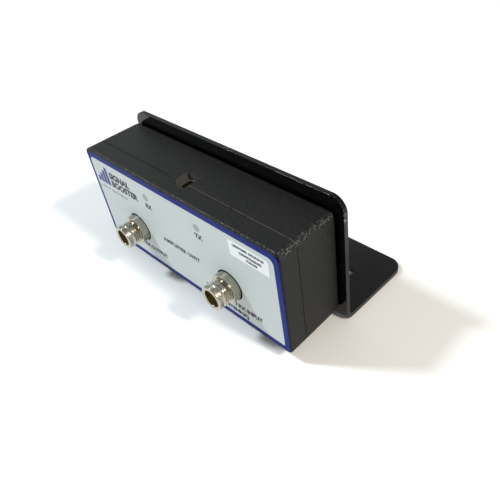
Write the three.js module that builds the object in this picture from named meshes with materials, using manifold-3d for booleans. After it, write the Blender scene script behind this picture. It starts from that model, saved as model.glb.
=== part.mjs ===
// Two-way antenna amplifier in a black snap case, carried on an L-shaped steel bracket.
// Millimetres, +Z up. The case faces -Y, the bracket's foot runs back along +Y.
import * as THREE from 'three';
import { mergeVertices } from 'three/addons/utils/BufferGeometryUtils.js';
import Module from 'manifold-3d';

const wasm = await Module();
wasm.setup();

// ---------------------------------------------------------------- driving dimensions
// Every y is measured from the front of the bracket's plate, and every z from the table.
const gap = 0.3; // left between pieces that touch

const caseWidth = 174.3;
const caseHeight = 73.5;
const caseLift = 6.5; // from the table to the case's underside
const caseCorner = 4.2;
const caseEdge = 1.0; // rounding of the front and rear rims
const caseDraft = 0.75; // taken off each side at the back
const wall = 2.2;
const coverDepth = 12.1; // from the front face to the parting line
const lipLength = 2.6;
const lipInset = 1.2;

const plateRise = 7.4; // how far the plate stands above the case
const plateInset = 0.4; // how far the plate ends short of the case's left side
const plateOverhang = 3.9; // how far it shows past the right side
const footDepth = 57.6;
const sheet = 3.0;
const bendRadius = 5.0;
const bracketCorner = 9.0;
const footHoleRadius = 3.0;
const footHoleInset = 23.2; // from the foot's ends
const footHoleBack = 31.3;

const labelInset = { left: 1.4, right: 1.1, top: 1.9, bottom: 1.3 };
const labelThickness = 0.25;
const labelCorner = { top: 3.8, bottom: 1.2 };
const sticker = { width: 29.4, height: 10.8, fromRight: 8.5, fromTop: 8.3, thickness: 0.15, corner: 1.6 };

const windowX = [-25.6, 22.4];
const windowDrop = 4.3; // from the chassis's top to the windows
const windowRadius = 2.75;
const windowCollar = 1.2; // both how wide and how thick
const lampRadius = 1.5;

// The release pocket, from the case's middle in x and from the parting line in y.
const pocket = { left: -6.5, right: 5.5, behind: 9.4, ahead: 4.0, depth: 5.0, wall: 1.2, round: 4.0 };
const pocketLedge = { left: 2.3, right: 0.9, behind: 1.1 };
const pocketHoleStart = 0.6;
const tongue = { thickness: 1.5, beyondPocket: 2.3, root: 11.0, hook: 1.3, side: 0.9, drop: 2.0 };

const portX = [-44.6, 42.3];
const portRise = 27.3; // from the case's underside to the ports' middle
const portReach = 14.3; // how far the ports stand out of the case's face
const threadRadius = 7.9;
const collarRadius = 9.5;
const collarLength = 5.0;
const portClearance = 0.8;
const portBore = 5.45;
const flangeEdge = 3.57; // from the flange's screws to its edge
const flangeThickness = 2.0;
const flangeScrewClear = 0.812; // from the collar to the screws' heads
const dielectricRadius = 3.5;
const barrelWall = 2.5; // the shell's metal around the dielectric, inside the case
const contactRadius = 1.52;

// The stack inside the case, from the back to the face.
const lidBack = 5.0;
const lidThickness = 2.0;
const rearSpace = 13.0;
const boardThickness = 1.6;
const frontSpace = 11.9;
const chassisWall = 1.5;
const flangeRoom = 5.1;

const chassisSideSpace = 11.15;
const postRadius = 3.2;
const amplifierRise = 3.0;
const duplexerWidth = 34.0;
const duplexerClear = 3.0; // from the bracket screws' middles
const duplexerEdge = 9.95; // from the board's long edges

const portSides = 24;
const screwSides = 8;
const screwHead = 1.6; // head height of every small screw
const screwRadius = 1.25;
const screwHeadRadius = 2.6;
const bracketScrewInset = 10.0; // from the chassis's ends
const bracketScrewDrop = 8.45; // from the chassis's top

// ---------------------------------------------------------------- derived sizes
const chassisFront = lidBack + lidThickness + rearSpace + boardThickness + frontSpace + chassisWall;
const caseDepth = chassisFront + flangeRoom + wall;
const caseBottom = caseLift;
const caseTop = caseLift + caseHeight;
const caseMiddle = (caseBottom + caseTop) / 2;
const partingY = coverDepth - caseDepth;
const caseBackY = -gap;
const coverInnerY = -caseDepth + wall;
const bracketWidth = caseWidth - plateInset + plateOverhang;
const bracketHeight = caseTop + plateRise;
const bracketMiddle = (plateInset + plateOverhang) / 2;
const footHoleSpread = bracketWidth / 2 - footHoleInset;
const labelBackY = -caseDepth + labelThickness;
const recessY = labelBackY + gap;
const portZ = caseBottom + portRise;
const pocketBackY = partingY + pocket.behind;
const pocketFrontY = partingY - pocket.ahead;
const pocketMiddle = (pocket.left + pocket.right) / 2;
const floorTop = caseHeight / 2 - pocket.depth; // height above the case's middle
const floorUnder = floorTop - pocket.wall;
const tongueTop = floorUnder - gap;
const tongueUnder = tongueTop - tongue.thickness;
const tongueHalf = (pocket.right - pocket.left) / 2 - tongue.side;
const tongueFrontY = pocketFrontY - tongue.beyondPocket;
const chassisWidth = caseWidth - 2 * chassisSideSpace;
const chassisHeight = 2 * (tongueUnder - tongue.drop - gap);
const bracketScrewX = chassisWidth / 2 - bracketScrewInset;
const bracketScrewZ = chassisHeight / 2 - bracketScrewDrop;
const windowZ = caseMiddle + chassisHeight / 2 - windowDrop;
const flangePitch = (collarRadius + flangeScrewClear + screwHeadRadius) * Math.SQRT1_2;
const flangeSize = 2 * (flangePitch + flangeEdge);
const lidFrontY = -lidBack - lidThickness;
const chassisBackY = lidFrontY - gap;
const flangeBackY = -chassisFront - gap;
const flangeFrontY = flangeBackY - flangeThickness;
const boardBackY = lidFrontY - rearSpace;
const boardFrontY = boardBackY - boardThickness;
const boardWidth = chassisWidth - 4 * postRadius - 2 * gap;
const boardHeight = chassisHeight - 2 * chassisWall - 4;
const duplexerHeight = boardHeight - 2 * duplexerEdge;
const heatBlockFront = boardBackY + gap + amplifierRise + gap;
const heatBlockRise = lidFrontY - gap - heatBlockFront;

// ---------------------------------------------------------------- materials
const paint = (color, roughness, metalness) => (
  new THREE.MeshStandardMaterial({ color, roughness, metalness }));
const materials = {
  blackSteel: paint(0x141414, 0.3, 0.0),
  blackPlastic: paint(0x1d1e1f, 0.55, 0.0),
  label: paint(0xb9c0c1, 0.45, 0.0),
  sticker: paint(0xe8eaec, 0.5, 0.0),
  window: paint(0x8d9598, 0.3, 0.0),
  nickel: paint(0xb9ad97, 0.25, 1.0),
  gold: paint(0xc79a3e, 0.25, 1.0),
  insulator: paint(0xe9e6dd, 0.5, 0.0),
  aluminium: paint(0xb8bbbd, 0.4, 1.0),
  zinc: paint(0x9fa3a6, 0.35, 1.0),
  board: paint(0x1d5a34, 0.5, 0.0),
  package: paint(0x18191b, 0.5, 0.0),
  ceramic: paint(0xd6d2c6, 0.4, 0.0),
  lamp: paint(0x7fd18a, 0.2, 0.0),
};

// ---------------------------------------------------------------- shapes and solids
// A rectangle with its own radius at each corner.
function roundedRectangle(x0, x1, z0, z1, radii) {
  const [topLeft, topRight, bottomRight, bottomLeft] = Array.isArray(radii) ? radii : Array(4).fill(radii);
  const shape = new THREE.Shape();
  shape.moveTo(x0 + bottomLeft, z0);
  shape.lineTo(x1 - bottomRight, z0);
  shape.absarc(x1 - bottomRight, z0 + bottomRight, bottomRight, -Math.PI / 2, 0);
  shape.lineTo(x1, z1 - topRight);
  shape.absarc(x1 - topRight, z1 - topRight, topRight, 0, Math.PI / 2);
  shape.lineTo(x0 + topLeft, z1);
  shape.absarc(x0 + topLeft, z1 - topLeft, topLeft, Math.PI / 2, Math.PI);
  shape.lineTo(x0, z0 + bottomLeft);
  shape.absarc(x0 + bottomLeft, z0 + bottomLeft, bottomLeft, Math.PI, 1.5 * Math.PI);
  return shape;
}

function circle(x, z, radius) {
  const shape = new THREE.Shape();
  shape.absarc(x, z, radius, 0, 2 * Math.PI);
  return shape;
}

// Turns a closed geometry into a solid that can be joined and cut.
function solid(geometry) {
  const plain = geometry.clone();
  plain.deleteAttribute('normal');
  plain.deleteAttribute('uv');
  const welded = mergeVertices(plain, 1e-4);
  const vertProperties = Float32Array.from(welded.attributes.position.array);
  const triVerts = Uint32Array.from(welded.index.array);
  return new wasm.Manifold(new wasm.Mesh({ numProp: 3, vertProperties, triVerts }));
}

function mesh(name, body, material) {
  const { vertProperties, triVerts } = body.getMesh();
  const geometry = new THREE.BufferGeometry();
  geometry.setAttribute('position', new THREE.BufferAttribute(vertProperties, 3));
  geometry.setIndex(new THREE.BufferAttribute(triVerts, 1));
  geometry.computeVertexNormals();
  const part = new THREE.Mesh(geometry, material);
  part.name = name;
  return part;
}

// Extrudes an outline drawn in X and Z from the plane y = back towards -Y.
function slabGeometry(shape, back, depth, round = 0, curveSegments = 6) {
  const geometry = new THREE.ExtrudeGeometry(shape, {
    depth: depth - 2 * round,
    bevelEnabled: round > 0,
    bevelThickness: round,
    bevelSize: round,
    bevelOffset: -round,
    bevelSegments: 2,
    curveSegments,
  });
  return geometry.rotateX(Math.PI / 2).translate(0, back - round, 0);
}

const slab = (shape, back, depth, curveSegments) => solid(slabGeometry(shape, back, depth, 0, curveSegments));

// Extrudes an outline drawn in X and Y upwards from the height z.
function tower(shape, z, height, curveSegments = 6) {
  const geometry = new THREE.ExtrudeGeometry(shape, { depth: height, bevelEnabled: false, curveSegments });
  return solid(geometry.translate(0, 0, z));
}

function box(x0, x1, y0, y1, z0, z1) {
  const geometry = new THREE.BoxGeometry(x1 - x0, y1 - y0, z1 - z0);
  return solid(geometry.translate((x0 + x1) / 2, (y0 + y1) / 2, (z0 + z1) / 2));
}

// A rod along Y, at (x, z), from the plane y = back towards -Y.
function rod(x, z, radius, back, depth, sides = 20) {
  const geometry = new THREE.CylinderGeometry(radius, radius, depth, sides);
  return solid(geometry.translate(x, back - depth / 2, z));
}

// Turns [radius, y] pairs, given with y rising, about the line through (x, z) along Y.
function turned(profile, x, z, sides = 24) {
  const points = profile.map(([radius, y]) => new THREE.Vector2(radius, y));
  return solid(new THREE.LatheGeometry(points, sides).translate(x, 0, z));
}

// Mirrors a shell feature made for the top of the case to its underside.
const turnedOver = (body, over) => (over ? body.rotate([0, 180, 0]) : body);

const union = (bodies) => bodies.reduce((all, body) => all.add(body));
const cut = (body, tools) => tools.reduce((rest, tool) => rest.subtract(tool), body);

// Clearance holes along Y for the small screws, at a list of places.
const bores = (places, back, depth) => (
  places.map(([x, z]) => rod(x, z, screwRadius + gap, back, depth, screwSides)));

const corners = (x, z) => [[-x, -z], [x, -z], [-x, z], [x, z]];

// ---------------------------------------------------------------- bracket
function bracketProfile() {
  const inner = bendRadius - sheet;
  const shape = new THREE.Shape();
  shape.moveTo(0, bracketHeight);
  shape.lineTo(0, bendRadius);
  shape.absarc(bendRadius, bendRadius, bendRadius, Math.PI, 1.5 * Math.PI);
  shape.lineTo(footDepth, 0);
  shape.lineTo(footDepth, sheet);
  shape.lineTo(bendRadius, sheet);
  shape.absarc(bendRadius, bendRadius, inner, 1.5 * Math.PI, Math.PI, true);
  shape.lineTo(sheet, bracketHeight);
  return shape;
}

// What a rounded sheet loses at its two far corners: the outline's surroundings.
function cornerScraps(far) {
  const half = bracketWidth / 2;
  const scraps = [];
  for (const side of [-1, 1]) {
    const shape = new THREE.Shape();
    const centreX = bracketMiddle + side * (half - bracketCorner);
    const edgeX = bracketMiddle + side * (half + 1);
    shape.moveTo(centreX, far);
    shape.absarc(centreX, far - bracketCorner, bracketCorner, Math.PI / 2, side > 0 ? 0 : Math.PI, side > 0);
    shape.lineTo(edgeX, far - bracketCorner);
    shape.lineTo(edgeX, far + 1);
    shape.lineTo(centreX, far + 1);
    scraps.push(shape);
  }
  return scraps;
}

function bracketScrewPlaces() {
  return corners(bracketScrewX, bracketScrewZ).map(([x, z]) => [x, caseMiddle + z]);
}

function bracket() {
  const geometry = new THREE.ExtrudeGeometry(bracketProfile(), {
    depth: bracketWidth,
    bevelEnabled: false,
    curveSegments: 8,
  });
  // The outline is drawn in Y and Z and drawn out along X.
  const turn = new THREE.Matrix4().makeBasis(
    new THREE.Vector3(0, 1, 0),
    new THREE.Vector3(0, 0, 1),
    new THREE.Vector3(1, 0, 0),
  );
  geometry.applyMatrix4(turn).translate(bracketMiddle - bracketWidth / 2, 0, 0);
  const plateScraps = cornerScraps(bracketHeight).map((shape) => slab(shape, sheet + 1, sheet + 2, 8));
  const footScraps = cornerScraps(footDepth).map((shape) => tower(shape, -1, sheet + 2, 8));
  const footHoles = [-1, 1].map((side) => {
    const x = bracketMiddle + side * footHoleSpread;
    return tower(circle(x, footHoleBack, footHoleRadius), -1, sheet + 2, 12);
  });
  const screwHoles = bores(bracketScrewPlaces(), sheet + 1, sheet + 2);
  return mesh('bracket', cut(solid(geometry), [...plateScraps, ...footScraps, ...footHoles, ...screwHoles]),
    materials.blackSteel);
}

// ---------------------------------------------------------------- case shells
// The case's outline, moved in from its outside by a margin, about the case's middle height.
function caseOutline(margin) {
  const x = caseWidth / 2 - margin;
  const z = caseHeight / 2 - margin;
  return roundedRectangle(-x, x, -z, z, Math.max(caseCorner - margin, 0.5));
}

// Draws the sides in towards the back by the mould's draft.
function drafted(geometry) {
  const position = geometry.attributes.position;
  for (let i = 0; i < position.count; i += 1) {
    const inset = caseDraft * (position.getY(i) + caseDepth) / caseDepth;
    position.setX(i, position.getX(i) * (1 - inset / (caseWidth / 2)));
    position.setZ(i, position.getZ(i) * (1 - inset / (caseHeight / 2)));
  }
  return geometry;
}

function caseBlock(margin, back, depth, round = 0) {
  return solid(drafted(slabGeometry(caseOutline(margin), back, depth, round, 4)));
}

const beyond = caseWidth; // larger than anything that it cuts
const behind = (y) => box(-beyond, beyond, y, y + beyond, -beyond, beyond);
const before = (y) => box(-beyond, beyond, y - beyond, y, -beyond, beyond);

const caseOutside = () => caseBlock(0, caseBackY, caseDepth + caseBackY, caseEdge);

// The release pocket's opening in the top wall, rounded into the cover on its left.
function pocketOutline(front) {
  const { left, right, round } = pocket;
  const shape = new THREE.Shape();
  shape.moveTo(left, pocketBackY);
  shape.lineTo(left, partingY - gap);
  shape.absarc(left, partingY - gap - round, round, Math.PI / 2, 0, true);
  shape.lineTo(left + round, front);
  shape.lineTo(right, front);
  shape.lineTo(right, pocketBackY);
  return shape;
}

// The pocket's walls and floor, which belong to the rear case.
function pocketWell() {
  const { left, right, wall: thick } = pocket;
  const top = caseHeight / 2 - wall / 2;
  const outer = [left - thick, right + thick];
  const back = pocketBackY + thick;
  const walls = box(...outer, partingY + gap, back, floorUnder, top);
  return walls.add(box(...outer, pocketFrontY + gap, back, floorUnder, floorTop));
}

function pocketRecess() {
  return tower(pocketOutline(pocketFrontY - gap), floorTop, pocket.depth + 1);
}

// The opening in the pocket's floor, with its sides moved in by a margin.
function pocketHoleOutline(margin, corner) {
  const left = pocket.left + pocketLedge.left + margin;
  const right = pocket.right - pocketLedge.right - margin;
  const front = partingY + pocketHoleStart + margin;
  const back = pocketBackY - pocketLedge.behind - margin;
  return roundedRectangle(left, right, front, back, corner);
}

// The block that the tongue's root is held in.
function tongueAnchor() {
  const half = tongueHalf + pocket.wall;
  const top = caseHeight / 2 - wall / 2;
  return box(pocketMiddle - half, pocketMiddle + half, -tongue.root, caseBackY - wall / 2, tongueUnder, top);
}

function rearCase() {
  const shell = cut(caseOutside().intersect(behind(partingY + gap / 2)), [
    caseBlock(wall, caseBackY - wall, caseDepth),
  ]);
  const lipBack = partingY + lipLength;
  const lipCore = caseBlock(wall, lipBack + 1, 2 * lipLength + 2);
  const lip = caseBlock(lipInset, lipBack, 2 * lipLength).subtract(lipCore);
  const wells = [false, true].map((over) => turnedOver(pocketWell(), over));
  const anchors = [false, true].map((over) => turnedOver(tongueAnchor(), over));
  const recesses = [false, true].map((over) => turnedOver(pocketRecess(), over));
  const holes = [false, true].map((over) => (
    turnedOver(tower(pocketHoleOutline(0, 1.5), floorUnder - 1, pocket.wall + 2, 4), over)));
  const screwHoles = bores(corners(bracketScrewX, bracketScrewZ), 1, wall + 2);
  const body = cut(union([shell, lip, ...wells, ...anchors]), [...recesses, ...holes, ...screwHoles]);
  return mesh('rear_case', body.translate([0, 0, caseMiddle]), materials.blackPlastic);
}

// The catch behind which the tongue's hook springs.
function coverCatch() {
  const front = tongueFrontY + tongue.hook + gap;
  const top = caseHeight / 2 - wall / 2;
  const across = [pocketMiddle - tongueHalf, pocketMiddle + tongueHalf];
  return box(...across, front, pocketFrontY - gap, floorTop + gap, top);
}

// The openings that the cover and the label share, for the ports and the windows.
function faceHoles() {
  const depth = caseDepth + 1;
  const clear = collarRadius + portClearance;
  const portHoles = portX.map((x) => rod(x, portZ - caseMiddle, clear, 0, depth, portSides));
  const windowHoles = windowX.map((x) => rod(x, windowZ - caseMiddle, windowRadius + gap, 0, depth, 16));
  return [...portHoles, ...windowHoles];
}

function frontCover() {
  const cavity = caseBlock(wall, 0, caseDepth - wall);
  const rebate = caseBlock(lipInset - gap, 0, caseDepth - coverDepth + lipLength + gap);
  const shell = cut(caseOutside().intersect(before(partingY - gap / 2)), [cavity, rebate]);
  const catches = [false, true].map((over) => turnedOver(coverCatch(), over));
  const recesses = [false, true].map((over) => turnedOver(pocketRecess(), over));
  const labelSeat = slab(labelOutline(-gap), recessY, recessY + caseDepth + 1);
  const body = cut(union([shell, ...catches]), [...recesses, labelSeat, ...faceHoles()]);
  return mesh('front_cover', body.translate([0, 0, caseMiddle]), materials.blackPlastic);
}

function labelOutline(margin) {
  const left = -caseWidth / 2 + labelInset.left + margin;
  const right = caseWidth / 2 - labelInset.right - margin;
  const bottom = -caseHeight / 2 + labelInset.bottom + margin;
  const top = caseHeight / 2 - labelInset.top - margin;
  const { top: high, bottom: low } = labelCorner;
  return roundedRectangle(left, right, bottom, top, [high, high, low, low]);
}

function faceLabel() {
  const plate = slab(labelOutline(0), labelBackY, labelThickness);
  const body = cut(plate, faceHoles());
  return mesh('face_label', body.translate([0, 0, caseMiddle]), materials.label);
}

function serialSticker() {
  const right = caseWidth / 2 - sticker.fromRight;
  const top = caseTop - sticker.fromTop;
  const radii = [0.4, sticker.corner, 0.4, 0.4];
  const outline = roundedRectangle(right - sticker.width, right, top - sticker.height, top, radii);
  return mesh('serial_sticker', slab(outline, -caseDepth - gap, sticker.thickness), materials.sticker);
}

// A light pipe pushed into the cover from behind, up to its collar.
function indicatorWindow(name, x) {
  const profile = [
    [0, -caseDepth],
    [windowRadius, -caseDepth],
    [windowRadius, coverInnerY + gap],
    [windowRadius + windowCollar, coverInnerY + gap],
    [windowRadius + windowCollar, coverInnerY + windowCollar],
    [0, coverInnerY + windowCollar],
  ];
  return mesh(name, turned(profile, x, windowZ, 20), materials.window);
}

// The snap tongue that reaches under the pocket's floor to the cover's catch.
function latch(name, over) {
  const left = pocketMiddle - tongueHalf;
  const right = pocketMiddle + tongueHalf;
  const blade = box(left, right, tongueFrontY, -tongue.root - gap, tongueUnder, tongueTop);
  const hook = box(left, right, tongueFrontY, tongueFrontY + tongue.hook, tongueUnder, floorTop);
  const pad = tower(pocketHoleOutline(gap, 1.2), tongueUnder, floorUnder + pocket.wall / 3 - tongueUnder, 4);
  const body = turnedOver(union([blade, hook, pad]), over);
  return mesh(name, body.translate([0, 0, caseMiddle]), materials.blackPlastic);
}

// ---------------------------------------------------------------- ports
function portShell(name, x) {
  const tip = -caseDepth - portReach;
  const shoulder = -caseDepth - collarLength;
  const tail = 4 - chassisFront;
  const barrel = dielectricRadius + barrelWall;
  const profile = [
    [dielectricRadius, tail],
    [dielectricRadius, shoulder],
    [portBore, shoulder],
    [portBore, tip + 0.4],
    [portBore + 0.4, tip],
    [threadRadius - 0.4, tip],
    [threadRadius, tip + 0.4],
    [threadRadius, tip + 2.7],
    [threadRadius - 0.8, tip + 2.9],
    [threadRadius - 0.8, tip + 3.5],
    [threadRadius, tip + 3.7],
    [threadRadius, shoulder - 1.0],
    [threadRadius - 0.9, shoulder - 0.8],
    [threadRadius - 0.9, shoulder],
    [collarRadius - 0.3, shoulder],
    [collarRadius, shoulder + 0.3],
    [collarRadius, flangeFrontY + 1],
    [barrel, flangeFrontY + 1],
    [barrel, tail],
    [dielectricRadius, tail],
  ];
  const half = flangeSize / 2;
  const flangeShape = roundedRectangle(x - half, x + half, portZ - half, portZ + half, 1.5);
  const opening = rod(x, portZ, dielectricRadius + 1, 0, caseDepth, portSides);
  const flange = slab(flangeShape, flangeBackY, flangeThickness, 3).subtract(opening);
  const holes = bores(flangeScrewPlaces(x), 0, caseDepth);
  return mesh(name, cut(turned(profile, x, portZ, portSides).add(flange), holes), materials.nickel);
}

const flangeScrewPlaces = (x) => corners(flangePitch, flangePitch).map(([dx, dz]) => [x + dx, portZ + dz]);

function portInsulator(name, x) {
  const front = -caseDepth - collarLength + gap;
  const back = 4.5 - chassisFront;
  const outer = dielectricRadius - gap;
  const inner = contactRadius + gap;
  const profile = [[inner, back], [inner, front], [outer, front], [outer, back], [inner, back]];
  return mesh(name, turned(profile, x, portZ), materials.insulator);
}

function portContact(name, x) {
  const front = -caseDepth - portReach + 5.0;
  const back = boardFrontY - gap;
  const profile = [
    [0, front + 3],
    [0.85, front + 3],
    [0.85, front],
    [contactRadius - 0.3, front],
    [contactRadius, front + 0.3],
    [contactRadius, 5 - chassisFront],
    [0.8, 5 - chassisFront],
    [0.8, back],
    [0, back],
  ];
  return mesh(name, turned(profile, x, portZ, 16), materials.gold);
}

// A pan-head screw along Y. Its head is at y = seat; forward screws point to -Y.
function screw(name, x, z, seat, length, forward) {
  const r = screwHeadRadius;
  const profile = [
    [0, -length],
    [screwRadius, -length],
    [screwRadius, 0],
    [r, 0],
    [r, screwHead * 0.6],
    [r * 0.7, screwHead],
    [0, screwHead],
  ];
  const body = turned(profile, 0, 0, screwSides);
  const aimed = forward ? body : body.rotate([180, 0, 0]);
  return mesh(name, aimed.translate([x, seat, z]), materials.zinc);
}

function flangeScrews(side, x) {
  const length = flangeThickness + chassisWall + 3;
  return flangeScrewPlaces(x).map(([sx, sz], i) => (
    screw(`flange_screw_${side}_${i + 1}`, sx, sz, flangeFrontY - gap, length, false)));
}

// ---------------------------------------------------------------- chassis and board
const postPlaces = corners(chassisWidth / 2 - postRadius, chassisHeight / 2 - postRadius);
const boardPostPlaces = corners(boardWidth / 2 - 8, boardHeight / 2 - 4);

function chassis() {
  const x = chassisWidth / 2;
  const z = chassisHeight / 2;
  const outside = box(-x, x, -chassisFront, chassisBackY, -z, z);
  const t = chassisWall;
  const inside = box(-x + t, x - t, -chassisFront + t, chassisBackY + 1, -z + t, z - t);
  const posts = postPlaces.map(([px, pz]) => (
    rod(px, pz, postRadius, chassisBackY, chassisFront + chassisBackY, 10)));
  const boardPosts = boardPostPlaces.map(([px, pz]) => (
    rod(px, pz, postRadius, boardFrontY - gap, chassisFront + boardFrontY - gap, 10)));
  const lidHoles = bores(postPlaces, chassisBackY + 1, 10);
  const boardHoles = bores(boardPostPlaces, boardFrontY, 7);
  const barrelClear = dielectricRadius + barrelWall + gap;
  const portHoles = portX.map((px) => rod(px, portZ - caseMiddle, barrelClear, 0, caseDepth, portSides));
  const flangePlaces = portX.flatMap(flangeScrewPlaces).map(([px, pz]) => [px, pz - caseMiddle]);
  const flangeHoles = bores(flangePlaces, -chassisFront + t + 1, t + 2);
  const lampHoles = windowX.map((px) => rod(px, windowZ - caseMiddle, lampRadius + gap, 0, caseDepth, 12));
  const body = cut(union([outside.subtract(inside), ...posts, ...boardPosts]),
    [...lidHoles, ...boardHoles, ...portHoles, ...flangeHoles, ...lampHoles]);
  return mesh('chassis', body.translate([0, 0, caseMiddle]), materials.aluminium);
}

function chassisLid() {
  const x = chassisWidth / 2;
  const z = chassisHeight / 2;
  const plate = slab(roundedRectangle(-x, x, -z, z, 1.5), -lidBack, lidThickness, 3);
  const places = [...postPlaces, ...corners(bracketScrewX, bracketScrewZ)];
  const holes = bores(places, 0, lidBack + lidThickness + 1);
  return mesh('chassis_lid', cut(plate, holes).translate([0, 0, caseMiddle]), materials.aluminium);
}

function circuitBoard() {
  const x = boardWidth / 2;
  const z = boardHeight / 2;
  const plate = slab(roundedRectangle(-x, x, -z, z, 2), boardBackY, boardThickness, 3);
  const holes = bores(boardPostPlaces, 0, caseDepth);
  return mesh('circuit_board', cut(plate, holes).translate([0, 0, caseMiddle]), materials.board);
}

// A rectangular piece of the given size, between the planes back - rise and back.
function block(name, x, z, width, height, back, rise, material) {
  const outline = roundedRectangle(x - width / 2, x + width / 2, z - height / 2, z + height / 2, 0.6);
  return mesh(name, slab(outline, back, rise, 2).translate([0, 0, caseMiddle]), material);
}

const onBoardBack = (name, x, z, width, height, rise, material) => (
  block(name, x, z, width, height, boardBackY + gap + rise, rise, material));

const onBoardFront = (name, x, z, width, height, rise, material) => (
  block(name, x, z, width, height, boardFrontY - gap, rise, material));

// Carries an amplifier's heat to the chassis lid.
const heatBlock = (name, x, z, width, height) => (
  block(name, x, z, width, height, heatBlockFront + heatBlockRise, heatBlockRise, materials.aluminium));

function capacitor(name, x, z) {
  const foot = boardFrontY - gap;
  const profile = [
    [0, foot - 9],
    [3.6, foot - 9],
    [4, foot - 8.6],
    [4, foot - 1.4],
    [3.7, foot - 1.1],
    [4, foot - 0.8],
    [4, foot],
    [0, foot],
  ];
  return mesh(name, turned(profile, x, caseMiddle + z, 16), materials.aluminium);
}

function choke(name, x, z) {
  const foot = boardFrontY - gap;
  const profile = [
    [0, foot - 5],
    [5, foot - 5],
    [5, foot - 4],
    [3.4, foot - 3.8],
    [3.4, foot - 1.2],
    [5, foot - 1],
    [5, foot],
    [0, foot],
  ];
  return mesh(name, turned(profile, x, caseMiddle + z, 16), materials.package);
}

// A domed lamp that stands in the chassis's front panel, behind its window.
function lamp(name, x) {
  const panelBack = -chassisFront + chassisWall;
  const tip = coverInnerY + windowCollar + gap;
  const profile = [
    [0, tip],
    [lampRadius * 0.6, tip + 0.3],
    [lampRadius, tip + 1.2],
    [lampRadius, panelBack + gap],
    [lampRadius + 0.5, panelBack + gap],
    [lampRadius + 0.5, panelBack + gap + 1],
    [0, panelBack + gap + 1],
  ];
  return mesh(name, turned(profile, x, windowZ, 14), materials.lamp);
}

// ---------------------------------------------------------------- the whole object
const sides = ['left', 'right'];
const group = new THREE.Group();
group.add(bracket(), rearCase(), frontCover(), faceLabel(), serialSticker());
group.add(indicatorWindow('led_window_rx', windowX[0]), indicatorWindow('led_window_tx', windowX[1]));
group.add(latch('latch_top', false), latch('latch_bottom', true));
sides.forEach((side, i) => {
  group.add(portShell(`port_${side}_shell`, portX[i]));
  group.add(portInsulator(`port_${side}_insulator`, portX[i]));
  group.add(portContact(`port_${side}_contact`, portX[i]));
  group.add(...flangeScrews(side, portX[i]));
});
group.add(chassis(), chassisLid(), circuitBoard());
postPlaces.forEach(([x, z], i) => {
  group.add(screw(`lid_screw_${i + 1}`, x, caseMiddle + z, -lidBack + gap, 8, true));
});
boardPostPlaces.forEach(([x, z], i) => {
  group.add(screw(`board_screw_${i + 1}`, x, caseMiddle + z, boardBackY + gap, 6, true));
});
bracketScrewPlaces().forEach(([x, z], i) => {
  const length = sheet + lidBack + lidThickness + 2;
  group.add(screw(`bracket_screw_${i + 1}`, x, z, sheet + gap, length, true));
});

const duplexerX = bracketScrewX - duplexerClear - duplexerWidth / 2;
group.add(onBoardBack('duplexer_left', -duplexerX, 0, duplexerWidth, duplexerHeight, 10, materials.zinc));
group.add(onBoardBack('duplexer_right', duplexerX, 0, duplexerWidth, duplexerHeight, 10, materials.zinc));
group.add(onBoardBack('receive_amplifier', -14, 9, 12, 10, amplifierRise, materials.ceramic));
group.add(onBoardBack('transmit_amplifier', 10, -9, 16, 12, amplifierRise, materials.ceramic));
group.add(heatBlock('receive_heat_block', -14, 9, 14, 12));
group.add(heatBlock('transmit_heat_block', 10, -9, 18, 14));
group.add(onBoardFront('rf_switch', 0, 8, 7, 7, 1.6, materials.package));
group.add(onBoardFront('regulator', -8, -10, 10, 9, 4, materials.package));
group.add(choke('bias_choke', 10, -10));
group.add(capacitor('capacitor_1', -20, -4), capacitor('capacitor_2', 18, 4));
group.add(lamp('led_rx', windowX[0]), lamp('led_tx', windowX[1]));

// The origin is under the middle of the whole object, on the table.
const leftmost = Math.min(-caseWidth / 2, bracketMiddle - bracketWidth / 2);
const rightmost = Math.max(caseWidth / 2, bracketMiddle + bracketWidth / 2);
group.position.set(-(leftmost + rightmost) / 2, (caseDepth + portReach - footDepth) / 2, 0);

export default group;
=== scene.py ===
import math

import bmesh
import bpy
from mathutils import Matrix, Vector


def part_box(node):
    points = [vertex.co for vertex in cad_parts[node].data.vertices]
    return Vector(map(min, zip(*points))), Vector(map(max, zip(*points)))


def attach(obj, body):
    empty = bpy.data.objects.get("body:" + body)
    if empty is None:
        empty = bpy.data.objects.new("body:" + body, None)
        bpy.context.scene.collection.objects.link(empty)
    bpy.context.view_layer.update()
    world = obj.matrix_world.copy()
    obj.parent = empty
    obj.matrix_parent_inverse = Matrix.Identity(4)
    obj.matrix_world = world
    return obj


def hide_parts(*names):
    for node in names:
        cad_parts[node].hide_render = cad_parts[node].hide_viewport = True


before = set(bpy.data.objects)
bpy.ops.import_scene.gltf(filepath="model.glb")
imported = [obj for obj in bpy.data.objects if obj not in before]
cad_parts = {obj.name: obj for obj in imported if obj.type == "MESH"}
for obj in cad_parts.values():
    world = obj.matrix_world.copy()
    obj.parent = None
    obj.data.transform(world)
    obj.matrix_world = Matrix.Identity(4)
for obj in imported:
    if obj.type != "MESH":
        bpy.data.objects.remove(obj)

bl_info = {
    "name": "Antenna Amplifier",
    "version": (1, 0, 0),
    "blender": (4, 5, 0),
    "location": "View3D > Sidebar > Amplifier",
    "description": "Builds a two-port antenna amplifier in a snap case on a steel bracket",
    "category": "Add Mesh",
}

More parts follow.
